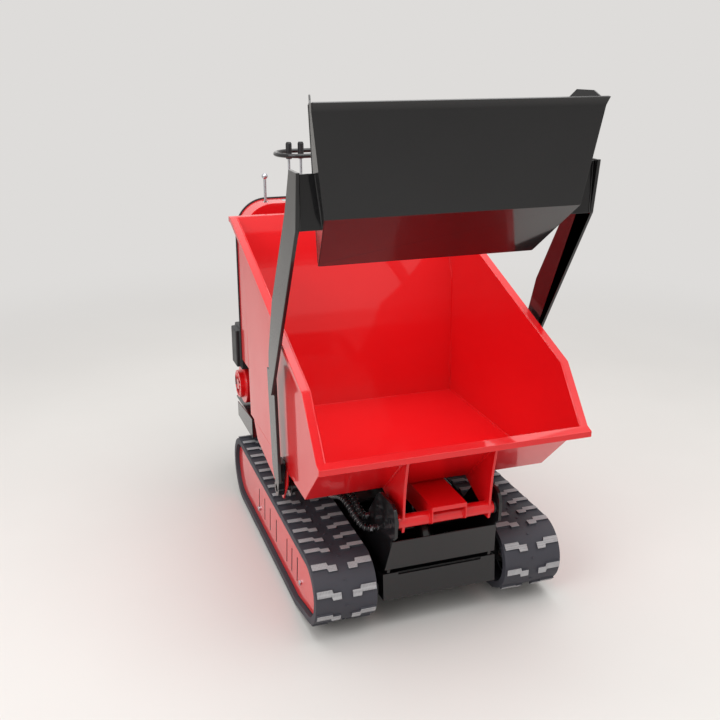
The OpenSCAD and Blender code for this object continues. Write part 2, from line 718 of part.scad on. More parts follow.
// Ribbed hoses: each is one closed tube swept along a smooth route, with a rib on every second ring
hose_r = 11;
hose_bore = 6;
hose_rib = 2.5;
hose_sides = 8;
hose_pitch = 9;
hose_routes = [
    [[-170.3, 616, 254], [-200, 616, 254], [-228, 594, 264], [-238, 556, 269], [-239, 514, 271],
     [-239, 472, 272], [-239, 430, 273], [-239, 390, 277], [-239, 352, 290], [-239, 316, 309],
     [-237, 280, 325], [-233, 242, 328], [-227, 208, 314], [-217, 178, 290], [-200, 157, 264],
     [-170.3, 157, 264]],
    [[-170.3, 570, 254], [-190, 570, 254], [-205, 548, 264], [-209, 514, 270], [-209, 472, 272],
     [-209, 430, 273], [-209, 390, 277], [-209, 352, 291], [-209, 318, 310], [-208, 284, 326],
     [-205, 250, 326], [-198, 224, 306], [-190, 206, 281], [-170.3, 206, 281]]
];
// Point i of a route, which runs on straight past both ends
function route_at(p, i) =
    let (n = len(p) - 1)
    i < 0 ? 2 * p[0] - p[1] : i > n ? 2 * p[n] - p[n - 1] : p[i];
// Cubic B-spline point between p[i] and p[i + 1]
function spline(p, i, t) =
    let (a = route_at(p, i - 1), b = route_at(p, i), c = route_at(p, i + 1), d = route_at(p, i + 2))
    let (ta = pow(1 - t, 3), tb = 3 * pow(t, 3) - 6 * t * t + 4, td = pow(t, 3))
    (ta * a + tb * b + (6 - ta - tb - td) * c + td * d) / 6;
function route_points(p, n) = [
    for (k = [0:n])
        let (s = k / n * (len(p) - 1), i = min(floor(s), len(p) - 2))
        spline(p, i, s - i)
];
function route_len(q, i = 1) = i < len(q) ? norm(q[i] - q[i - 1]) + route_len(q, i + 1) : 0;
function ring(c, dir, r) =
    let (u = unit(cross(dir, [0.3, 0.1, 1])), v = cross(dir, u))
    [for (k = [0:hose_sides - 1]) c + r * (cos(360 * k / hose_sides) * u + sin(360 * k / hose_sides) * v)];
function rib_r(k, n) = k < 2 || k > n - 2 ? hose_r - hose_rib : k % 2 == 0 ? hose_r : hose_r - hose_rib;

module hose(route) {
    n = 2 * round(route_len(route_points(route, 60)) / hose_pitch);
    q = route_points(route, n);
    dirs = [for (k = [0:n]) unit(q[min(k + 1, n)] - q[max(k - 1, 0)])];
    outer = [for (k = [0:n]) each ring(q[k], dirs[k], rib_r(k, n))];
    inner = [for (k = [0:n]) each ring(q[k], dirs[k], hose_bore)];
    m = hose_sides;
    base = len(outer);
    function wrap(k, j) = k * m + (j % m);
    polyhedron(concat(outer, inner), concat(
        [for (k = [0:n - 1], j = [0:m - 1]) each [
            [wrap(k, j), wrap(k, j + 1), wrap(k + 1, j + 1)],
            [wrap(k, j), wrap(k + 1, j + 1), wrap(k + 1, j)],
            [base + wrap(k, j), base + wrap(k + 1, j + 1), base + wrap(k, j + 1)],
            [base + wrap(k, j), base + wrap(k + 1, j), base + wrap(k + 1, j + 1)]
        ]],
        [for (j = [0:m - 1]) each [
            [wrap(0, j), base + wrap(0, j + 1), wrap(0, j + 1)],
            [wrap(0, j), base + wrap(0, j), base + wrap(0, j + 1)],
            [wrap(n, j), wrap(n, j + 1), base + wrap(n, j + 1)],
            [wrap(n, j), base + wrap(n, j + 1), base + wrap(n, j)]
        ]]
    ));
}
module hydraulic_hoses() color(black) datum() for (r = hose_routes) hose(r);

// Skip tub: one bent sheet for front, floor and rear, closed by two side walls
module skip_tub() color(red) datum() {
    over = 100;
    outer = offset_path(tub_path, sheet_t);
    difference() {
        along_x(-skip_outer_w, skip_outer_w) polygon(concat(outer, [rear_top, kink, lip]));
        along_x(-skip_half_w, skip_half_w)
            polygon(concat(tub_path, [[rear_top_y, rear_top_z + over], [lip_y, rear_top_z + over]]));
    }
}

// Folded rim: a flat flange round the top edge with a turned-down outer edge
module skip_rim() color(red) datum() {
    rim_x = skip_outer_w + rim_w;
    fold_t = 4;
    outer = offset_path(tub_path, sheet_t);
    lip_out = [front_y, lip_z - 9];
    rear_out = [rear_top_y + 30, rear_top_z];
    side_path = [rear_out, rear_top, kink, lip, lip_out];
    both() along_x(skip_outer_w, rim_x)
        polygon(concat(side_path, reversed(offset_path(side_path, -fold_t))));
    both() along_x(rim_x - fold_t, rim_x)
        polygon(concat(side_path, reversed(offset_path(side_path, -rim_drop))));
    along_x(-rim_x, rim_x) polygon([
        lip, lip_out, lip_out - [0, rim_drop], lip_out + [fold_t, -rim_drop],
        lip_out + [fold_t, -2.5], outer[0]
    ]);
    along_x(-rim_x, rim_x) polygon([
        rear_top, outer[len(outer) - 1], rear_out + [-fold_t, -fold_t], rear_out + [-fold_t, -rim_drop],
        rear_out - [0, rim_drop], rear_out
    ]);
}

tube_half_w = 152;
gusset_x = 133;
gusset_t = 8;
channel_half_w = 55;
channel_t = 4;
channel_rear_y = 330;

// Front edge of a gusset: it sweeps forward as it rises
gusset_low_z = 345;
gusset_high_z = 578;
function gusset_front(z) = [-3 - 33 * pow((z - gusset_low_z) / (gusset_high_z - gusset_low_z), 2), z];
module gusset_outline() {
    wall = offset_path(tub_path, sheet_t);
    along_wall = unit(wall[0] - wall[1]);
    polygon(concat(
        [for (i = [0:6]) gusset_front(gusset_high_z - i * (gusset_high_z - gusset_low_z) / 6)],
        [[0, 323], [30, 323], [62, 350], [190, floor_under_z], wall[1], wall[1] + 252 * along_wall]
    ));
}

// Hinge frame under the skip: hinge tube, two gussets and the channel with the ram's head pin
module hinge_frame() color(red) datum() difference() {
    union() {
        rod_x(20, -tube_half_w, tube_half_w, hinge_y, hinge_z);
        both() along_x(gusset_x, gusset_x + gusset_t) gusset_outline();
        both() along_x(channel_half_w - channel_t, channel_half_w) polygon([
            [-18, floor_under_z - 4], [-18, 347], [12, 330], [226, 330], [236, 320], [276, 320],
            [channel_rear_y, 364], [channel_rear_y, floor_under_z - 4]
        ]);
        block([-channel_half_w, -18, floor_under_z - 8], [channel_half_w, channel_rear_y, floor_under_z - 4]);
        block([-channel_half_w, -18, floor_under_z - 18], [channel_half_w, -14, floor_under_z - 4]);
        for (y = [170, 290])
            block([-channel_half_w, y, floor_under_z - 4], [channel_half_w, y + 30, floor_under_z]);
        rod_x(ram_pin_r, -channel_half_w, channel_half_w, ram_head[0], ram_head[1]);
    }
    rod_x(hinge_pin_r + fit, -tube_half_w - cut, tube_half_w + cut, hinge_y, hinge_z);
}

// Ears under the skip's sides that carry the loader's torque shaft
module skip_ears() color(red) datum() both() difference() {
    along_x(skip_outer_w - 6, skip_outer_w) polygon([
        [751, 343], [405, 280], [352, 352], [345, floor_under_z], [800, floor_under_z]
    ]);
    rod_x(journal_r + fit, 300, 500, pivot_y, pivot_z);
}

// Loader cylinder clamped under the skip floor
barrel_y0 = 520;
barrel_y1 = 760;
module loader_cylinder() color(black) datum() difference() {
    union() {
        rod_y(25, barrel_y0, barrel_y1, 0, loader_rod_z);
        for (y = [545, 715]) block([-34, y, loader_rod_z - 8], [34, y + 24, floor_under_z]);
    }
    rod_y(20, barrel_y0 + 22, barrel_y1 - 12, 0, loader_rod_z);
    rod_y(10 + fit, barrel_y0 - cut, barrel_y0 + 30, 0, loader_rod_z);
}

// Loader rod with its piston and the slotted yoke that takes the crank pin
module loader_rod() color(zinc) datum() {
    slot_half = crank_pin_r + 2.5;
    yoke_half = 20;
    rod_y(10, crank_pin[0] + slot_half + 4, 655, 0, loader_rod_z);
    rod_y(20 - fit, 632, 650, 0, loader_rod_z);
    translate([0, crank_pin[0], loader_rod_z]) difference() {
        block([-14, -yoke_half, -26], [14, yoke_half, 24]);
        block([-15, -slot_half, -19], [15, slot_half, 19]);
    }
}

// Torque shaft with end journals, collars and the crank of the loader cylinder
module torque_shaft() color(black) datum() {
    body_half = 372;
    cheek_in = 18;
    cheek_t = 10;
    rod_x(22, -body_half, body_half, pivot_y, pivot_z);
    both() rod_x(32, body_half - 6, body_half, pivot_y, pivot_z);
    both() rod_x(journal_r, body_half, skip_outer_w + 16, pivot_y, pivot_z);
    rod_x(crank_pin_r, -cheek_in, cheek_in, crank_pin[0], crank_pin[1]);
    both() along_x(cheek_in, cheek_in + cheek_t) {
        translate([pivot_y, pivot_z]) circle(r = 34);
        translate(crank_pin) circle(r = 14);
        translate([pivot_y, pivot_z]) rotate(-crank_rest)
            polygon([[-33, 8], [33, 8], [14, crank_r], [-14, crank_r]]);
    }
}

// Shovel outline, [y, z] from its lip to the top of its back
shovel_path = [[-50, 1533], [-38, 1511], [-9, 1246], [176, 1085]];
// Flat sides of the shovel as [half width at the datum, its growth along Y, its growth along Z].
// Behind the fold, each side turns inwards as a wing.
side_plane = [203.6, -0.0865, 0.1305];
fold_top = [-14, 1531];
fold_low = [176, 1085];
wing_per_y = -0.281;
function half_w_at(s, p) = s[0] + s[1] * p[0] + s[2] * p[1];
fold_top_x = half_w_at(side_plane, fold_top);
wing_per_z = (fold_top_x - half_w_at(side_plane, fold_low) - wing_per_y * (fold_top[0] - fold_low[0]))
    / (fold_top[1] - fold_low[1]);
wing_plane = [fold_top_x - wing_per_y * fold_top[0] - wing_per_z * fold_top[1], wing_per_y, wing_per_z];
wing_outline = [[-19.5, 1528.6], [12, 1547], [70, 1547], [96, 1524], [190, 1104], [165, 1095.5]];

// Normal of a side and two directions in it
function side_n(s) = unit([1, -s[1], -s[2]]);
function side_u(s) = unit([s[1], 1, 0]);
function side_v(s) = cross(side_n(s), side_u(s));
// Point of a side at [y, z], in the side's own two directions
function side_point(s, p) =
    let (q = [half_w_at(s, p), p[0], p[1]])
    [q * side_u(s), q * side_v(s)];

// Lays its children's XY plane on a side of the shovel, +Z outwards
module on_shovel_side(s) {
    n = side_n(s);
    u = side_u(s);
    v = side_v(s);
    multmatrix([[u[0], v[0], n[0], 0], [u[1], v[1], n[1], 0], [u[2], v[2], n[2], 0], [0, 0, 0, 1]])
        translate([0, 0, s[0] * n[0]]) children();
}

// Everything between two distances from the shovel's side
side_reach = 4000;
module side_slab(from, to) on_shovel_side(side_plane) translate([-side_reach / 2, -side_reach / 2, from])
    cube([side_reach, side_reach, to - from]);

// Plate on a side of the shovel, its outer face sunk by the given depth
module side_plate(s, depth, outline) on_shovel_side(s) translate([0, 0, -shovel_t - depth])
    linear_extrude(shovel_t) polygon([for (p = outline) side_point(s, p)]);

// Bent sheet whose ends are welded to two flat side plates, each with a lapped wing
module shovel() color(black) datum() {
    lap = shovel_t / 2;
    weld_step = 1;
    wing_step = 1.5;
    difference() {
        along_x(-450, 450) polygon(concat(shovel_path, reversed(offset_path(shovel_path, -shovel_t))));
        both() side_slab(-lap, 300);
    }
    both() side_plate(side_plane, 0, concat(offset_path(shovel_path, -weld_step), [fold_top]));
    both() side_plate(wing_plane, wing_step, wing_outline);
}

// Bars of an arm, [y, z]: the upper one laps on the outside of the lower one
upper_bar = [
    [10, 1364], [28, 1216], [350, 658], [380, 658], [367, 790], [306, 963], [132, 1250], [84, 1364]
];
lower_bar = [[326, 372], [354, 720], [436, 720], [406, 410], [384, 372]];

// Lift arm: two lapped flat bars, a strap with the pivot's boss and a bracket to the shovel's side
module loader_arm(side) color(black) datum() on_side(side) {
    upper_in = arm_x - arm_t;
    low_in = upper_in - arm_t;
    strap_in = skip_outer_w + 1.5;
    boss_r = 25;
    along_x(upper_in, arm_x) polygon(upper_bar);
    along_x(low_in, upper_in) polygon(lower_bar);
    difference() {
        along_x(strap_in, low_in) {
            translate([pivot_y, pivot_z]) circle(r = boss_r);
            polygon([[378, pivot_z], [422, pivot_z], [398, 430], [348, 430]]);
        }
        rod_x(journal_r + eps, 300, 500, pivot_y, pivot_z);
    }
    difference() {
        block([340, 30, 1214], [upper_in, 38, 1358]);
        side_slab(-300, 0);
    }
}
module loader_arm_left() loader_arm(-1);
module loader_arm_right() loader_arm(1);

// Places a part of the tip cylinder with its foot on the foot pin, +Z along the ram
module on_ram() translate([0, ram_foot[0], ram_foot[1]]) rotate([-ram_lean, 0, 0]) children();

module tip_barrel() color(black) datum() on_ram() difference() {
    union() {
        rod_x(22, -20, 20, 0, 0);
        rod_z(19, 0, 30, 0, 0);
        rod_z(28, 26, 228, 0, 0);
    }
    rod_x(ram_pin_r + fit, -30, 30, 0, 0);
    rod_z(22, 30, 208, 0, 0);
    rod_z(18 + fit, 200, 230, 0, 0);
}

// Plunger of the tip cylinder, with a slotted head for the head pin
module tip_rod() color(zinc) datum() on_ram() difference() {
    union() {
        rod_z(18, 31, ram_rest - 10, 0, 0);
        rod_x(22, -20, 20, 0, ram_rest);
        rod_x(22, -20, 20, 0, ram_rest + ram_slot);
        block([-20, -22, ram_rest], [20, 22, ram_rest + ram_slot]);
    }
    rod_x(ram_pin_r + 0.3, -30, 30, 0, ram_rest);
    rod_x(ram_pin_r + 0.3, -30, 30, 0, ram_rest + ram_slot);
    block([-30, -ram_pin_r - 0.3, ram_rest], [30, ram_pin_r + 0.3, ram_rest + ram_slot]);
}

chassis_frame();
front_cover_upper();
front_cover_lower();
panel_bolts();
track_frame_left();
track_frame_right();
track_left();
track_right();
track_cover_left();
track_cover_right();
roller_pins();
gearbox();
engine_block();
fan_cover();
fuel_tank();
muffler();
air_filter();
drive_belt();
hydraulic_pump();
hydraulic_tank();
control_valve();
console_hood();
console_trim();
handlebar();
handle_grips();
lever_guard();
hydraulic_hoses();
hinge_pins();
deck_trays();
sprocket_left();
sprocket_right();
idler_left();
idler_right();
roller_left_front();
roller_left_rear();
roller_right_front();
roller_right_rear();
engine_pulley();
gearbox_pulley();
recoil_handle();
fuel_cap();
tip_lever();
tip_lever_grip();
loader_lever();
loader_lever_grip();
gear_lever();
clutch_lever_left();
clutch_lever_right();
skip_tub();
skip_rim();
hinge_frame();
skip_ears();
loader_cylinder();
loader_arm_left();
loader_arm_right();
torque_shaft();
shovel();
loader_rod();
tip_barrel();
tip_rod();
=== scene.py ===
import json
import math

import bpy
from mathutils import Matrix, Vector


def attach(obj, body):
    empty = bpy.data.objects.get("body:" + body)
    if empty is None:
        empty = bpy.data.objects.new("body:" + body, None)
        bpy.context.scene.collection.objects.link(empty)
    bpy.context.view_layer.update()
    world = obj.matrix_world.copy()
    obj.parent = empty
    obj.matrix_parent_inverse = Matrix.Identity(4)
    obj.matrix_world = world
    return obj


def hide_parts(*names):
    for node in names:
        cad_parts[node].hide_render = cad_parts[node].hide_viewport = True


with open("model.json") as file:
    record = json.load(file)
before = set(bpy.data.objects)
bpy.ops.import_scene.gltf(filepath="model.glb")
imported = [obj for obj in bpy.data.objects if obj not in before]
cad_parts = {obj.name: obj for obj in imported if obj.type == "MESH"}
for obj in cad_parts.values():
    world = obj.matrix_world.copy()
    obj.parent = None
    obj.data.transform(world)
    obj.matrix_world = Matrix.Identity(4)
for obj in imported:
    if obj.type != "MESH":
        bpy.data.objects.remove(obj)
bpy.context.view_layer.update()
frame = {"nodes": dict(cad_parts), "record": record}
nodes = frame["nodes"]
bodyOf = {n: body for body, names in frame["record"]["behaviour"]["bodies"].items() for n in names}
datumY = 708  # mm from the tips of the hinge gussets, where lengths start, to the middle of the base
groundMm = 20  # mm from the ground up to the level where heights start
mm = 0.001


# A point in metres from a place on the machine in mm
def place(x, y, z):
    return Vector((x, y - datumY, z + groundMm)) * mm


# The place in mm of a point in metres
def placeOf(point):
    return point.x / mm, point.y / mm + datumY, point.z / mm - groundMm


def hexColour(code):
    channels = [int(code[i:i + 2], 16) / 255 for i in (1, 3, 5)]
    return [c / 12.92 if c <= 0.04045 else ((c + 0.055) / 1.055) ** 2.4 for c in channels] + [1.0]


def addNode(tree, kind, values=None, links=None, **settings):
    node = tree.nodes.new(kind)
    for name, value in settings.items():
        setattr(node, name, value)
    for socket, value in (values or {}).items():
        node.inputs[socket].default_value = value
    for socket, output in (links or {}).items():
        tree.links.new(output, node.inputs[socket])
    return node


def startFinish(name):
    material = bpy.data.materials.new(name)
    material.use_nodes = True
    tree = material.node_tree
    tree.nodes.clear()
    shader = addNode(tree, "ShaderNodeBsdfPrincipled")
    addNode(tree, "ShaderNodeOutputMaterial", links={"Surface": shader.outputs["BSDF"]})
    coords = addNode(tree, "ShaderNodeTexCoord").outputs["Object"]
    return material, tree, shader, coords


def perMetre(sizeMm):
    return 1 / (sizeMm * mm)


grainDepth = 0.1  # depth of a grain as a share of its width


# One recipe for the plain finishes: two tones in slow clouds, roughness that follows them, a fine grain
def makeFinish(look):
    material, tree, shader, coords = startFinish(look["name"])
    clouds = addNode(tree, "ShaderNodeTexNoise", {"Scale": perMetre(look["cloudMm"]), "Detail": 4.0},
                     {"Vector": coords})
    tone = addNode(tree, "ShaderNodeMix", {6: hexColour(look["colour"]), 7: hexColour(look["shade"])},
                   {0: clouds.outputs["Fac"]}, data_type="RGBA")
    tree.links.new(tone.outputs[2], shader.inputs["Base Color"])
    smoothest, roughest = look["rough"]
    rough = addNode(tree, "ShaderNodeMapRange",
                    {"From Min": 0.3, "From Max": 0.7, "To Min": smoothest, "To Max": roughest},
                    {"Value": clouds.outputs["Fac"]})
    tree.links.new(rough.outputs["Result"], shader.inputs["Roughness"])
    stretch = addNode(tree, "ShaderNodeMapping", {"Scale": look.get("stretch", (1, 1, 1))},
                      {"Vector": coords})
    grain = addNode(tree, "ShaderNodeTexNoise", {"Scale": perMetre(look["grainMm"]), "Detail": 2.0},
                    {"Vector": stretch.outputs["Vector"]})
    bump = addNode(tree, "ShaderNodeBump",
                   {"Strength": look["grain"], "Distance": look["grainMm"] * mm * grainDepth},
                   {"Height": grain.outputs["Fac"]})
    if "waveMm" in look:  # slow waves of a sheet that was cut, bent and welded
        wave = addNode(tree, "ShaderNodeTexNoise", {"Scale": perMetre(look["waveMm"]), "Detail": 0.0},
                       {"Vector": coords})
        waves = addNode(tree, "ShaderNodeBump", {"Strength": 1.0, "Distance": look["waveDepthMm"] * mm},
                        {"Height": wave.outputs["Fac"]})
        tree.links.new(waves.outputs["Normal"], bump.inputs["Normal"])
        tree.links.new(waves.outputs["Normal"], shader.inputs["Coat Normal"])
    tree.links.new(bump.outputs["Normal"], shader.inputs["Normal"])
    shader.inputs["Metallic"].default_value = look.get("metal", 0.0)
    shader.inputs["Specular IOR Level"].default_value = look.get("gleam", 0.5)
    shader.inputs["Coat Weight"].default_value = look.get("coat", 0.0)
    shader.inputs["Coat Roughness"].default_value = look.get("coatRough", 0.05)
    return material


finishes = {
    # Gloss enamel sprayed on sheet steel: deep red under a clear mirror, with orange peel and sheet waves
    "redEnamel": makeFinish({
        "name": "Gloss red enamel", "colour": "#E6161C", "shade": "#DC1118", "cloudMm": 320,
        "rough": (0.30, 0.40), "gleam": 0.2, "grainMm": 2.5, "grain": 0.12, "waveMm": 150,
        "waveDepthMm": 0.5, "coat": 0.8, "coatRough": 0.06}),
    # The same enamel in black: nearly all that the eye gets is the mirrored room
    "blackEnamel": makeFinish({
        "name": "Gloss black enamel", "colour": "#101012", "shade": "#161618", "cloudMm": 260,
        "rough": (0.30, 0.42), "gleam": 0.1, "grainMm": 2.5, "grain": 0.12, "waveMm": 150,
        "waveDepthMm": 0.5, "coat": 0.9, "coatRough": 0.07}),
    # Moulded track rubber: blue-black, dull, with the matt skin of the mould
    "trackRubber": makeFinish({
        "name": "Moulded track rubber", "colour": "#303037", "shade": "#3F3F48", "cloudMm": 60,
        "rough": (0.55, 0.72), "grainMm": 3, "grain": 0.35}),
    # Soft rubber of grips and edging: darker and a little smoother
    "softRubber": makeFinish({
        "name": "Soft moulded rubber", "colour": "#17171A", "shade": "#222226", "cloudMm": 40,
        "rough": (0.5, 0.65), "grainMm": 1.5, "grain": 0.3}),
    # Bright zinc plate: pale grey metal with faint cloudy passivation
    "zincPlate": makeFinish({
        "name": "Bright zinc plate", "colour": "#C9CBD0", "shade": "#B4B6BD", "cloudMm": 12,
        "rough": (0.22, 0.36), "grainMm": 1, "grain": 0.15, "metal": 1.0}),
    # Turned steel: grey metal with fine tool rings, drawn as coarse as 0.8 mm to show
    "turnedSteel": makeFinish({
        "name": "Turned steel", "colour": "#8E9197", "shade": "#777A80", "cloudMm": 30,
        "rough": (0.34, 0.5), "grainMm": 0.8, "grain": 0.25, "stretch": (1, 0.15, 0.15), "metal": 1.0}),
    # Hard chrome of the rams: a near mirror
    "hardChrome": makeFinish({
        "name": "Hard chrome", "colour": "#DADCDF", "shade": "#CFD1D5", "cloudMm": 40,
        "rough": (0.06, 0.12), "grainMm": 1, "grain": 0.03, "metal": 1.0}),
    # Sand-cast aluminium: pale and grainy
    "castAluminium": makeFinish({
        "name": "Sand-cast aluminium", "colour": "#9DA0A3", "shade": "#85888B", "cloudMm": 35,
        "rough": (0.45, 0.62), "grainMm": 2, "grain": 0.6, "metal": 1.0}),
    # Moulded black plastic: fine spark-eroded grain, low sheen
    "blackPlastic": makeFinish({
        "name": "Moulded black plastic", "colour": "#141416", "shade": "#1C1C1F", "cloudMm": 50,
        "rough": (0.38, 0.5), "grainMm": 1.2, "grain": 0.3}),
    # Nylon spiral guard: smooth, bright lines of light on every turn
    "nylonGuard": makeFinish({
        "name": "Nylon spiral guard", "colour": "#101012", "shade": "#18181B", "cloudMm": 30,
        "rough": (0.14, 0.22), "grainMm": 1.5, "grain": 0.1, "coat": 1.0}),
    # Drawn steel silencer: dull, browned by heat
    "heatedSteel": makeFinish({
        "name": "Heat-browned steel", "colour": "#8A8078", "shade": "#6C5F58", "cloudMm": 45,
        "rough": (0.4, 0.58), "grainMm": 1.5, "grain": 0.3, "metal": 1.0}),
}
waveUnit = 20  # radians of a wave texture's bands to one unit of its scale


# Lug tops rubbed pale by concrete dust, with the mould's fine cross hatching
def makeDustyTread(look):
    material, tree, shader, coords = startFinish("Dusty lug tops")
    bands = {"Scale": 2 * math.pi / (waveUnit * look["hatchMm"] * mm), "Distortion": look["wobble"]}
    across = addNode(tree, "ShaderNodeTexWave", bands, {"Vector": coords}, bands_direction="X")
    along = addNode(tree, "ShaderNodeTexWave", bands, {"Vector": coords}, bands_direction="Y")
    hatch = addNode(tree, "ShaderNodeMath", links={0: across.outputs["Fac"], 1: along.outputs["Fac"]},
                    operation="MULTIPLY")
    patches = addNode(tree, "ShaderNodeTexNoise", {"Scale": perMetre(look["patchMm"]), "Detail": 5.0},
                      {"Vector": coords})
    worn = addNode(tree, "ShaderNodeMix", {6: hexColour(look["dust"]), 7: hexColour(look["paleDust"])},
                   {0: patches.outputs["Fac"]}, data_type="RGBA")
    pits = addNode(tree, "ShaderNodeMapRange", {"To Min": 0.0, "To Max": look["pitDark"]},
                   {"Value": hatch.outputs["Value"]})
    tone = addNode(tree, "ShaderNodeMix", {7: hexColour(look["rubber"])},
                   {0: pits.outputs["Result"], 6: worn.outputs[2]}, data_type="RGBA")
    tree.links.new(tone.outputs[2], shader.inputs["Base Color"])
    bump = addNode(tree, "ShaderNodeBump", {"Strength": look["pitBump"], "Distance": look["pitMm"] * mm},
                   {"Height": hatch.outputs["Value"]}, invert=True)
    tree.links.new(bump.outputs["Normal"], shader.inputs["Normal"])
    shader.inputs["Roughness"].default_value = look["rough"]
    return material


finishes["dustyTread"] = makeDustyTread({
    "hatchMm": 4.5, "wobble": 1.5, "patchMm": 25, "dust": "#98989B", "paleDust": "#BDBDBF",
    "rubber": "#4A4A4E", "pitDark": 0.5, "pitBump": 0.4, "pitMm": 0.3, "rough": 0.85})
print("finishes:", len(finishes))


def pick(*objs):
    bpy.ops.object.select_all(action="DESELECT")
    for o in objs:
        o.select_set(True)
    bpy.context.view_layer.objects.active = objs[0]


def applyAll(obj):
    pick(obj)
    for modifier in list(obj.modifiers):
        bpy.ops.object.modifier_apply(modifier=modifier.name)


def applyPlace(obj):
    pick(obj)
    bpy.ops.object.transform_apply(location=True, rotation=True, scale=True)


def joinPieces(parts):
    pick(*parts)
    bpy.ops.object.join()
    return bpy.context.object


# An edge narrower than softFromMm is crisp; mergeMm and flatDeg turn a solid's triangles into whole faces
edgeLook = {"sharpDeg": 32, "crispSteps": 2, "crispDeg": 20, "softFromMm": 4, "softSteps": 5, "softDeg": 32,
            "mergeMm": 0.01, "flatDeg": 0.4}


# Eases sharp edges: a crisp edge has two steps beside flat faces, a soft one has enough steps to smooth.
# Weighting the normals by area keeps each wide panel flat to its edge.
def roundEdges(obj, edgeMm):
    soft = edgeMm >= edgeLook["softFromMm"]
    edges = obj.modifiers.new("edges", "BEVEL")
    edges.limit_method = "ANGLE"
    edges.angle_limit = math.radians(edgeLook["sharpDeg"])
    edges.width = edgeMm * mm
    edges.segments = edgeLook["softSteps"] if soft else edgeLook["crispSteps"]
    edges.use_clamp_overlap = soft
    applyAll(obj)
    smoothDeg = edgeLook["softDeg"] if soft else edgeLook["crispDeg"]
    bpy.ops.object.shade_smooth_by_angle(angle=math.radians(smoothDeg))
    weights = obj.modifiers.new("weights", "WEIGHTED_NORMAL")
    weights.keep_sharp = True
    applyAll(obj)


def setPiece(obj, name, finish, body, slot, *replaced):
    obj.name = name
    obj.data.name = name
    applyPlace(obj)
    obj.data.materials.clear()
    obj.data.materials.append(finishes[finish])
    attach(obj, body)
    if replaced:
        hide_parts(*replaced)
    return obj


# A CAD solid with its sharp edges eased and its real finish
def dress(nodeName, finish, slot, edgeMm):
    piece = bpy.data.objects.new(nodeName + "_dressed", nodes[nodeName].data.copy())
    bpy.context.scene.collection.objects.link(piece)
    pick(piece)
    bpy.ops.object.mode_set(mode="EDIT")
    bpy.ops.mesh.select_all(action="SELECT")
    bpy.ops.mesh.remove_doubles(threshold=edgeLook["mergeMm"] * mm)
    bpy.ops.mesh.dissolve_limited(angle_limit=math.radians(edgeLook["flatDeg"]))
    bpy.ops.object.mode_set(mode="OBJECT")
    roundEdges(piece, edgeMm)
    return setPiece(piece, nodeName + "_dressed", finish, bodyOf[nodeName], slot, nodeName)


wardrobe = [
    # finish, slot, edge radius in mm, nodes
    ("redEnamel", "red_paint", 1.2, [
        "skip_tub", "skip_rim", "hinge_frame", "skip_ears", "console_hood"]),
    ("redEnamel", "red_paint", 0.4, ["track_cover_left", "track_cover_right"]),
    ("redEnamel", "red_paint", 2.5, ["fan_cover"]),
    ("blackEnamel", "black_paint", 1.2, [
        "chassis_frame", "front_cover_upper", "front_cover_lower", "track_frame_left", "track_frame_right",
        "deck_trays"]),
    # thin sheet with welded steps of a millimetre, which a wider edge would pull out of flat
    ("blackEnamel", "black_paint", 0.4, ["shovel"]),
    ("blackEnamel", "black_paint", 1.6, [
        "loader_arm_left", "loader_arm_right", "torque_shaft", "loader_cylinder", "tip_barrel", "handlebar",
        "lever_guard", "hydraulic_tank", "hinge_pins"]),
    ("blackEnamel", "black_paint", 4.0, ["fuel_tank"]),
    ("trackRubber", "rubber", 1.0, ["track_left", "track_right"]),
    ("softRubber", "rubber", 1.5, ["drive_belt", "console_trim", "handle_grips"]),
    ("zincPlate", "zinc", 0.8, [
        "panel_bolts", "roller_pins", "tip_lever", "loader_lever", "gear_lever", "clutch_lever_left",
        "clutch_lever_right"]),
    ("turnedSteel", "steel", 1.0, [
        "sprocket_left", "sprocket_right", "idler_left", "idler_right", "roller_left_front",
        "roller_left_rear", "roller_right_front", "roller_right_rear", "engine_pulley", "gearbox_pulley"]),
    ("hardChrome", "chrome", 1.0, ["loader_rod", "tip_rod"]),
    ("castAluminium", "cast_metal", 1.2, ["gearbox", "engine_block", "hydraulic_pump", "control_valve"]),
    ("heatedSteel", "steel", 5.0, ["muffler"]),
    ("blackPlastic", "black_plastic", 1.5, [
        "recoil_handle", "fuel_cap", "tip_lever_grip", "loader_lever_grip"]),
    ("blackPlastic", "black_plastic", 5.0, ["air_filter"]),
]
dressed = {}
for finish, slot, edgeMm, names in wardrobe:
    for nodeName in names:
        dressed[nodeName] = dress(nodeName, finish, slot, edgeMm)
    print("dressed in", finish, len(names))

# Walls of the slots in the track covers take a dark finish as painted shade, so each slot reads as a black
# line
paintedSlotShade = {"fromY": 245, "toY": 800, "fromZ": 48, "toZ": 150, "sheetX": 383.5, "edgeFacing": 0.5}
for side in ("left", "right"):
    cover = dressed["track_cover_" + side]
    # dark soft rubber finish used as painted shade on the slot walls
    cover.data.materials.append(finishes["softRubber"])
    for face in cover.data.polygons:
        x, y, z = placeOf(face.center)
        inSlots = paintedSlotShade["fromY"] < y < paintedSlotShade["toY"] and paintedSlotShade["fromZ"] < z < paintedSlotShade["toZ"]
        if inSlots and abs(x) > paintedSlotShade["sheetX"] and abs(face.normal.x) < paintedSlotShade["edgeFacing"]:
            # painted shade: this slot wall takes the dark finish
            face.material_index = 1

# The belts' inner path as short steps round the three wheels it wraps, each with its outward direction
treadLook = {"wheels": [((255, 48), 40), ((1015, 109), 101), ((117, 122), 84)], "topMm": 27.6, "beltMm": 22,
             "cordMm": 3, "middleMm": 305, "rows": 37, "steps": 720, "pipRadiusMm": 4.5, "pipHeightMm": 2.0}
path = []
for k in range(treadLook["steps"] + 1):
    turn = 2 * math.pi * k / treadLook["steps"]
    out = Vector((math.cos(turn), math.sin(turn)))
    middle, radius = max(treadLook["wheels"], key=lambda wheel: out.dot(Vector(wheel[0])) + wheel[1])
    path.append((Vector(middle) + out * radius, out))
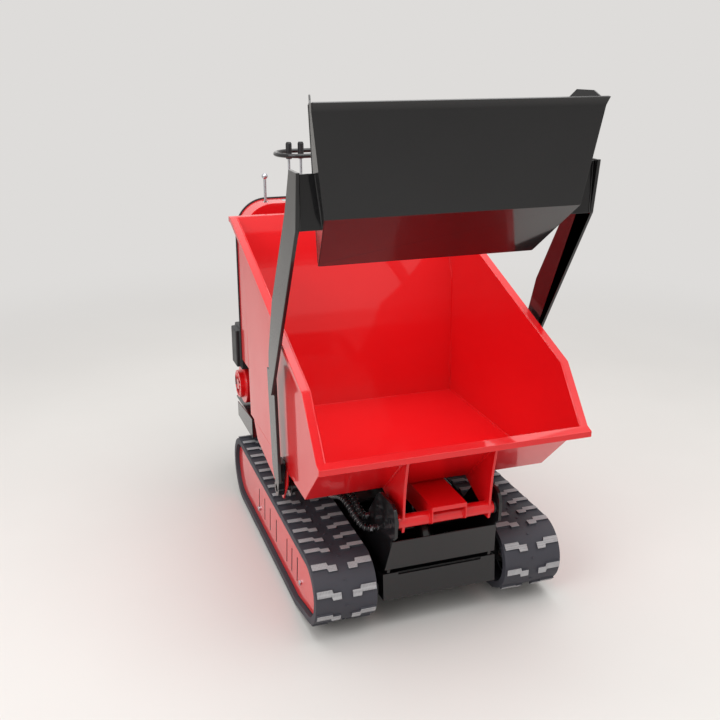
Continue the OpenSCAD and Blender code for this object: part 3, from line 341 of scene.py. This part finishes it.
# Distance along the belt's cords at each step of the path
travel = [0.0]
for (a, outA), (b, outB) in zip(path, path[1:]):
    travel.append(travel[-1] + (b + outB * treadLook["cordMm"] - a - outA * treadLook["cordMm"]).length)
rowPitch = travel[-1] / treadLook["rows"]


# How far a point stands off the path, and how far along the path its foot lies
def beltFoot(y, z):
    point = Vector((y, z))
    best = (1e9, 0.0)
    for k, ((a, _), (b, _)) in enumerate(zip(path, path[1:])):
        step = b - a
        t = min(max((point - a).dot(step) / step.length_squared, 0), 1)
        best = min(best, ((point - a - step * t).length, travel[k] + (travel[k + 1] - travel[k]) * t))
    return best


# Point on the belt's outside, and its outward direction, a distance along the path
def beltSpot(along):
    k = max(i for i in range(treadLook["steps"]) if travel[i] <= along)
    (a, outA), (b, outB) = path[k], path[k + 1]
    foot = a.lerp(b, (along - travel[k]) / (travel[k + 1] - travel[k]))
    out = outA.lerp(outB, 0.5).normalized()
    return foot + out * treadLook["beltMm"], out


# Lug tops, the faces furthest off the path, take the dusty finish; their mean gives where a row of lugs lies
def dustTops(belt):
    belt.data.materials.append(finishes["dustyTread"])
    feet = {}

    def spotKey(point):  # corners in the same 0.2 mm share one answer
        return round(point.y * 5000), round(point.z * 5000)

    for v in belt.data.vertices:
        if spotKey(v.co) not in feet:
            feet[spotKey(v.co)] = beltFoot(*placeOf(v.co)[1:])
    tops, east, north = 0, 0.0, 0.0
    for face in belt.data.polygons:
        heights = [feet[spotKey(belt.data.vertices[i].co)][0] for i in face.vertices]
        if min(heights) > treadLook["topMm"]:
            face.material_index = 1
            tops += 1
            turn = 2 * math.pi * beltFoot(*placeOf(face.center)[1:])[1] / rowPitch
            east, north = east + math.cos(turn), north + math.sin(turn)
    return tops, math.atan2(north, east) / (2 * math.pi) * rowPitch


# Puts a new piece's middle at a point, with its Z axis along direction
def aim(obj, at, direction):
    obj.matrix_world = Matrix.Translation(at) @ direction.to_track_quat("Z", "Y").to_matrix().to_4x4()
    applyPlace(obj)


# A small moulded pip with a raised middle, its axis along direction
def makePip(at, direction, radiusMm, heightMm):
    bpy.ops.object.select_all(action="DESELECT")
    bpy.ops.mesh.primitive_cylinder_add(vertices=16, radius=radiusMm * mm, depth=2 * heightMm * mm)
    obj = bpy.context.object
    for face in obj.data.polygons:
        face.select = face.normal.z > 0.9
    bpy.ops.object.mode_set(mode="EDIT")
    bpy.ops.mesh.select_mode(type="FACE")
    bpy.ops.mesh.inset(thickness=radiusMm * mm * 0.45)
    bpy.ops.transform.translate(value=(0, 0, heightMm * mm * 0.35))
    bpy.ops.object.mode_set(mode="OBJECT")
    aim(obj, at, direction)
    bpy.ops.object.shade_smooth_by_angle(angle=math.radians(60))
    return obj


# A pip stands between every two rows of lugs
for side, sign in (("left", -1), ("right", 1)):
    tops, firstRow = dustTops(dressed["track_" + side])
    pips = []
    for row in range(treadLook["rows"]):
        spot, out = beltSpot((firstRow + (row + 0.5) * rowPitch) % travel[-1])
        at = place(sign * treadLook["middleMm"], *spot)
        pips.append(makePip(at, Vector((0, *out)), treadLook["pipRadiusMm"], treadLook["pipHeightMm"]))
    setPiece(joinPieces(pips), "track_pips_" + side, "trackRubber", bodyOf["track_" + side], "rubber")
    print("lug top faces", side, tops, "pips", len(pips))

# Hydraulic hoses: a rubber core, a spiral guard wound round it and a crimped fitting at each end
hoseLook = {
    "coreMm": 8.6, "coreStepMm": 8, "guardMm": 2.8, "guardAt": 9.4, "pitchMm": 12.0, "pointsPerTurn": 16,
    "nutMm": 21, "nutLongMm": 13, "nutInMm": 7, "collarMm": 6,
    "routes": [
        [(-170.3, 616, 254), (-200, 616, 254), (-228, 594, 264), (-238, 556, 269), (-239, 514, 271),
         (-239, 472, 272), (-239, 430, 273), (-239, 390, 277), (-239, 352, 290), (-239, 316, 309),
         (-237, 280, 325), (-233, 242, 328), (-227, 208, 314), (-217, 178, 290), (-200, 157, 264),
         (-170.3, 157, 264)],
        [(-170.3, 570, 254), (-190, 570, 254), (-205, 548, 264), (-209, 514, 270), (-209, 472, 272),
         (-209, 430, 273), (-209, 390, 277), (-209, 352, 291), (-209, 318, 310), (-208, 284, 326),
         (-205, 250, 326), (-198, 224, 306), (-190, 206, 281), (-170.3, 206, 281)]],
}


# Point of a smooth B-spline that the places p guide, its ends carried on in a straight line
def splinePoint(p, s):
    n = len(p) - 1
    i = min(int(s), n - 1)
    t = s - i

    def at(k):
        if k < 0:
            return 2 * p[0] - p[1]
        return 2 * p[n] - p[n - 1] if k > n else p[k]

    wa, wb, wd = (1 - t) ** 3, 3 * t ** 3 - 6 * t * t + 4, t ** 3
    return (wa * at(i - 1) + wb * at(i) + (6 - wa - wb - wd) * at(i + 1) + wd * at(i + 2)) / 6


# Points a fixed step apart along a smooth route, and its length
def evenRoute(route, stepMm):
    p = [place(*q) for q in route]
    perSpan = 40
    fine = [splinePoint(p, k / perSpan) for k in range(perSpan * (len(p) - 1) + 1)]
    lengths = [0.0]
    for a, b in zip(fine, fine[1:]):
        lengths.append(lengths[-1] + (b - a).length)
    count = max(2, round(lengths[-1] / (stepMm * mm)))
    points, k = [], 0
    for j in range(count + 1):
        want = lengths[-1] * j / count
        while k < len(fine) - 2 and lengths[k + 1] < want:
            k += 1
        part = (want - lengths[k]) / max(lengths[k + 1] - lengths[k], 1e-9)
        points.append(fine[k].lerp(fine[k + 1], min(part, 1)))
    return points, lengths[-1]


# A smooth closed tube through points, made from a path curve
def tube(points, radiusMm, roundness):
    bpy.ops.object.select_all(action="DESELECT")
    bpy.ops.curve.primitive_nurbs_path_add()
    obj = bpy.context.object
    obj.data.splines.clear()
    line = obj.data.splines.new("POLY")
    line.points.add(len(points) - 1)
    for point, q in zip(line.points, points):
        point.co = (*q, 1)
    obj.data.dimensions = "3D"
    obj.data.bevel_depth = radiusMm * mm
    obj.data.bevel_resolution = roundness
    obj.data.use_fill_caps = True
    pick(obj)
    bpy.ops.object.convert(target="MESH")
    bpy.ops.object.shade_smooth_by_angle(angle=math.radians(50))
    return obj


# Points of the spiral guard round a hose
def wind(points, lengthM, look):
    across = (points[1] - points[0]).orthogonal().normalized()
    turns = lengthM / (look["pitchMm"] * mm)
    coil = []
    steps = len(points) - 1
    for j, q in enumerate(points):
        ahead = (points[min(j + 1, steps)] - points[max(j - 1, 0)]).normalized()
        across = (across - ahead * across.dot(ahead)).normalized()
        turn = 2 * math.pi * turns * j / steps
        outward = across * math.cos(turn) + ahead.cross(across) * math.sin(turn)
        coil.append(q + outward * look["guardAt"] * mm)
    return coil


# A nut or crimped end: a hexagon with a raised collar on one end, its axis along direction
def hexFitting(at, direction, look):
    bpy.ops.object.select_all(action="DESELECT")
    bpy.ops.mesh.primitive_cylinder_add(
        vertices=6, radius=look["nutMm"] * mm / 2, depth=look["nutLongMm"] * mm)
    obj = bpy.context.object
    bpy.ops.object.mode_set(mode="EDIT")
    bpy.ops.mesh.select_all(action="DESELECT")
    bpy.ops.object.mode_set(mode="OBJECT")
    for face in obj.data.polygons:
        face.select = face.normal.z > 0.9
    bpy.ops.object.mode_set(mode="EDIT")
    bpy.ops.mesh.inset(thickness=look["nutMm"] * mm * 0.12)
    bpy.ops.mesh.extrude_region_move(TRANSFORM_OT_translate={"value": (0, 0, look["collarMm"] * mm)})
    bpy.ops.object.mode_set(mode="OBJECT")
    aim(obj, at, direction)
    roundEdges(obj, 0.7)
    return obj


cores, guards, fittings = [], [], []
for number, route in enumerate(hoseLook["routes"]):
    corePoints, hoseLength = evenRoute(route, hoseLook["coreStepMm"])
    cores.append(tube(corePoints, hoseLook["coreMm"], 3))
    woundPoints, hoseLength = evenRoute(route, hoseLook["pitchMm"] / hoseLook["pointsPerTurn"])
    guards.append(tube(wind(woundPoints, hoseLength, hoseLook), hoseLook["guardMm"], 2))
    for end, inner in ((corePoints[0], corePoints[2]), (corePoints[-1], corePoints[-3])):
        direction = (inner - end).normalized()
        fittings.append(hexFitting(end + direction * hoseLook["nutInMm"] * mm, direction, hoseLook))
    print("hose", number + 1, "length in m", round(hoseLength, 3))
setPiece(joinPieces(cores), "hose_cores", "softRubber", "carrier", "black_plastic", "hydraulic_hoses")
setPiece(joinPieces(guards), "hose_guards", "nylonGuard", "carrier", "black_plastic")
setPiece(joinPieces(fittings), "hose_fittings", "zincPlate", "carrier", "zinc")

# Weld beads: a rippled string of metal along each welded corner. Lines hold [y, z], the tank's holds [x, y].
weldLook = {
    "rippleMm": 5.0, "narrow": 0.78,
    "tubX": 385.4, "tubMm": 2.6,
    "tubLine": [(-55, 603.5), (145.6, 407), (844.4, 407), (855.4, 841), (950, 1081)],
    "gussetXs": (132.4, 141.6), "gussetMm": 3.0, "gussetLine": [(-20, 562), (138, 407)],
    "hingeX": 141.8, "hingeMm": 2.4, "hingeLine": [(35, 344), (12, 332.6)],
    "armX": 419.6, "bracketYs": (29.6, 38.4), "bracketZs": (1216, 1356), "bracketMm": 2.8,
    "sideX": 203.6, "sidePerY": -0.0865, "sidePerZ": 0.1305,
    "upperX": 420.4, "upperMm": 3.0, "upperLine": [(353, 657.6), (378, 657.6)],
    "lowerX": 407.6, "lowerMm": 2.6, "lowerLine": [(336, 371.6), (382, 371.6)],
    "foldMm": 2.2, "foldEnds": [(403.6, -12, 1527), (331.0, 170, 1099)],
    "tankZ": 430, "tankMm": 2.2,
    "tankLine": [(215, 1205), (325, 1205), (325, 1385), (215, 1385), (215, 1205)],
}


def weld(points, radiusMm):
    bead = []
    for a, b in zip(points, points[1:]):
        count = max(2, round((b - a).length / (weldLook["rippleMm"] * 0.5 * mm)))
        bead += [a.lerp(b, k / count) for k in range(count)]
    bead.append(points[-1])
    obj = tube(bead, radiusMm, 2)
    sides = len(obj.data.vertices) // len(bead)
    for j, q in enumerate(bead):
        swell = 1.0 if j % 2 else weldLook["narrow"]  # the puddle swells and shrinks as it was laid
        for v in obj.data.vertices[j * sides:(j + 1) * sides]:
            v.co = q + (v.co - q) * swell
    return obj


def weldAcross(x, line, radiusMm):
    return weld([place(x, y, z) for y, z in line], radiusMm)


skipWelds = []
for sign in (-1, 1):
    skipWelds.append(weldAcross(sign * weldLook["tubX"], weldLook["tubLine"], weldLook["tubMm"]))
    for gussetX in weldLook["gussetXs"]:  # both faces of a gusset against the skip's front wall
        skipWelds.append(weldAcross(sign * gussetX, weldLook["gussetLine"], weldLook["gussetMm"]))
    # the gusset's lower end on the hinge tube
    skipWelds.append(weldAcross(sign * weldLook["hingeX"], weldLook["hingeLine"], weldLook["hingeMm"]))
setPiece(joinPieces(skipWelds), "skip_welds", "redEnamel", "skip", "red_paint")

loaderWelds = []
for sign in (-1, 1):
    # both faces of the shovel's bracket against the arm and against the shovel's side
    for y in weldLook["bracketYs"]:
        onArm = [place(sign * weldLook["armX"], y, z) for z in weldLook["bracketZs"]]
        loaderWelds.append(weld(onArm, weldLook["bracketMm"]))
        sideXs = [weldLook["sideX"] + weldLook["sidePerY"] * y + weldLook["sidePerZ"] * z
                  for z in weldLook["bracketZs"]]
        onSide = [place(sign * x, y, z) for x, z in zip(sideXs, weldLook["bracketZs"])]
        loaderWelds.append(weld(onSide, weldLook["bracketMm"]))
    # the upper bar's end on the lower bar, and the lower bar's end on the strap
    loaderWelds.append(weldAcross(sign * weldLook["upperX"], weldLook["upperLine"], weldLook["upperMm"]))
    loaderWelds.append(weldAcross(sign * weldLook["lowerX"], weldLook["lowerLine"], weldLook["lowerMm"]))
    # the fold between the shovel's side and its wing
    loaderWelds.append(weld([place(sign * x, y, z) for x, y, z in weldLook["foldEnds"]], weldLook["foldMm"]))
setPiece(joinPieces(loaderWelds), "loader_welds", "blackEnamel", "loader", "black_paint")
tankTop = [place(x, y, weldLook["tankZ"]) for x, y in weldLook["tankLine"]]
setPiece(weld(tankTop, weldLook["tankMm"]), "oil_tank_weld", "blackEnamel", "carrier", "black_paint")
print("welds done")

# Moulded ribs round the handle grips: flat rings sunk into the rubber
ribLook = {"gripMm": 18, "ribMm": 1.6, "widen": 1.5, "count": 12, "firstY": 1402, "lastY": 1490, "gripX": 200,
           "gripZ": 1028}
ribs = []
for sign in (-1, 1):
    for k in range(ribLook["count"]):
        y = ribLook["firstY"] + (ribLook["lastY"] - ribLook["firstY"]) * k / (ribLook["count"] - 1)
        bpy.ops.object.select_all(action="DESELECT")
        bpy.ops.mesh.primitive_torus_add(
            major_radius=ribLook["gripMm"] * mm, minor_radius=ribLook["ribMm"] * mm,
            major_segments=40, minor_segments=10)
        ring = bpy.context.object
        ring.scale.z = ribLook["widen"]  # wider than high, as a moulded rib is
        ring.rotation_euler.x = math.pi / 2
        ring.location = place(sign * ribLook["gripX"], y, ribLook["gripZ"])
        applyPlace(ring)
        bpy.ops.object.shade_smooth_by_angle(angle=math.radians(60))
        ribs.append(ring)
setPiece(joinPieces(ribs), "grip_ribs", "softRubber", bodyOf["handle_grips"], "rubber")

# Pressed louvres on the silencer's outer face
louvreLook = {"rows": (450, 466, 482), "middleX": 30, "y": 1376.5, "leanDeg": 24, "longMm": 56, "deepMm": 9,
              "thickMm": 3}
louvres = []
for z in louvreLook["rows"]:
    bpy.ops.object.select_all(action="DESELECT")
    bpy.ops.mesh.primitive_cube_add(size=1)
    louvre = bpy.context.object
    louvre.scale = Vector((louvreLook["longMm"], louvreLook["deepMm"], louvreLook["thickMm"])) * mm
    louvre.rotation_euler.x = math.radians(-louvreLook["leanDeg"])
    louvre.location = place(louvreLook["middleX"], louvreLook["y"], z)
    applyPlace(louvre)
    roundEdges(louvre, 1.0)
    louvres.append(louvre)
setPiece(joinPieces(louvres), "silencer_louvres", "heatedSteel", bodyOf["muffler"], "steel")
print("ribs and louvres done")

# Floor, light and camera
stageLook = {"floor": "#E2E0DD", "floorShade": "#DAD8D5", "sizeM": 60, "far": "#DEDCDA", "worldLight": 0.75,
             "worldGleam": 1.25, "nearM": 1.6, "farM": 4.5}
bpy.ops.object.select_all(action="DESELECT")
bpy.ops.mesh.primitive_plane_add(size=stageLook["sizeM"])
floor = bpy.context.object
floor.name = "floor"
# Trowelled concrete: pale, with faint clouds; far from the machine it fades into the plain background
concrete = makeFinish({
    "name": "Trowelled concrete", "colour": stageLook["floor"], "shade": stageLook["floorShade"],
    "cloudMm": 900, "rough": (0.55, 0.7), "grainMm": 12, "grain": 0.08})
tree = concrete.node_tree
surface = next(n for n in tree.nodes if n.type == "OUTPUT_MATERIAL").inputs["Surface"]
shaded = surface.links[0].from_socket
floorCoords = addNode(tree, "ShaderNodeTexCoord").outputs["Object"]
distance = addNode(tree, "ShaderNodeVectorMath", links={0: floorCoords}, operation="LENGTH")
fade = addNode(tree, "ShaderNodeMapRange", {"From Min": stageLook["nearM"], "From Max": stageLook["farM"]},
               {"Value": distance.outputs["Value"]}, interpolation_type="SMOOTHSTEP")
cameraRay = addNode(tree, "ShaderNodeLightPath").outputs["Is Camera Ray"]
seenFade = addNode(tree, "ShaderNodeMath", links={0: fade.outputs["Result"], 1: cameraRay},
                   operation="MULTIPLY")
plain = addNode(tree, "ShaderNodeEmission", {"Color": hexColour(stageLook["far"]), "Strength": 1.0})
blend = addNode(tree, "ShaderNodeMixShader",
                links={0: seenFade.outputs["Value"], 1: shaded, 2: plain.outputs["Emission"]})
tree.links.new(blend.outputs["Shader"], surface)
floor.data.materials.append(concrete)

world = bpy.data.worlds.new("softStudio")
world.use_nodes = True
sky = world.node_tree
sky.nodes.clear()
rays = addNode(sky, "ShaderNodeLightPath")
seen = addNode(sky, "ShaderNodeMath", operation="MAXIMUM",
               links={0: rays.outputs["Is Camera Ray"], 1: rays.outputs["Is Transmission Ray"]})
shownLight = addNode(sky, "ShaderNodeMath", {1: 1 - stageLook["worldLight"], 2: stageLook["worldLight"]},
                     {0: seen.outputs["Value"]}, operation="MULTIPLY_ADD")
# gloss paint mirrors a brighter sky than the one that lights the matt surfaces
mirrorLight = addNode(sky, "ShaderNodeMath", {1: stageLook["worldGleam"] - stageLook["worldLight"]},
                      {0: rays.outputs["Is Glossy Ray"], 2: shownLight.outputs["Value"]},
                      operation="MULTIPLY_ADD")
backdrop = addNode(sky, "ShaderNodeBackground", {"Color": hexColour(stageLook["far"])},
                   {"Strength": mirrorLight.outputs["Value"]})
addNode(sky, "ShaderNodeOutputWorld", links={"Surface": backdrop.outputs["Background"]})
bpy.context.scene.world = world

lightLook = {
    "overheadSoftbox": {"at": (0.3, -0.6, 4.2), "aim": (0, 0, 0.4), "sizeM": 4.5, "watts": 150},
    "frontLeftSoftbox": {"at": (-3.6, -2.6, 2.8), "aim": (0, 0, 0.6), "sizeM": 2.4, "watts": 70},
}
for name, look in lightLook.items():
    lampData = bpy.data.lights.new(name, "AREA")
    lampData.shape = "RECTANGLE"
    lampData.size = lampData.size_y = look["sizeM"]
    lampData.energy = look["watts"]
    lamp = bpy.data.objects.new(name, lampData)
    bpy.context.scene.collection.objects.link(lamp)
    lamp.location = look["at"]
    lamp.rotation_mode = "QUATERNION"
    lamp.rotation_quaternion = (Vector(look["aim"]) - Vector(look["at"])).to_track_quat("-Z", "Y")

cameraLook = {"at": (-1.048, -2.965, 1.694), "forward": (0.3090, 0.8954, -0.3208), "lens": 47.3,
              "sensorMm": 36}
cameraData = bpy.data.cameras.new("photoCamera")
cameraData.lens = cameraLook["lens"]
cameraData.sensor_width = cameraLook["sensorMm"]
camera = bpy.data.objects.new("photoCamera", cameraData)
bpy.context.scene.collection.objects.link(camera)
camera.location = cameraLook["at"]
camera.rotation_mode = "QUATERNION"
camera.rotation_quaternion = Vector(cameraLook["forward"]).to_track_quat("-Z", "Y")
bpy.context.scene.camera = camera
bpy.context.scene.view_settings.view_transform = "Standard"
print("stage done")
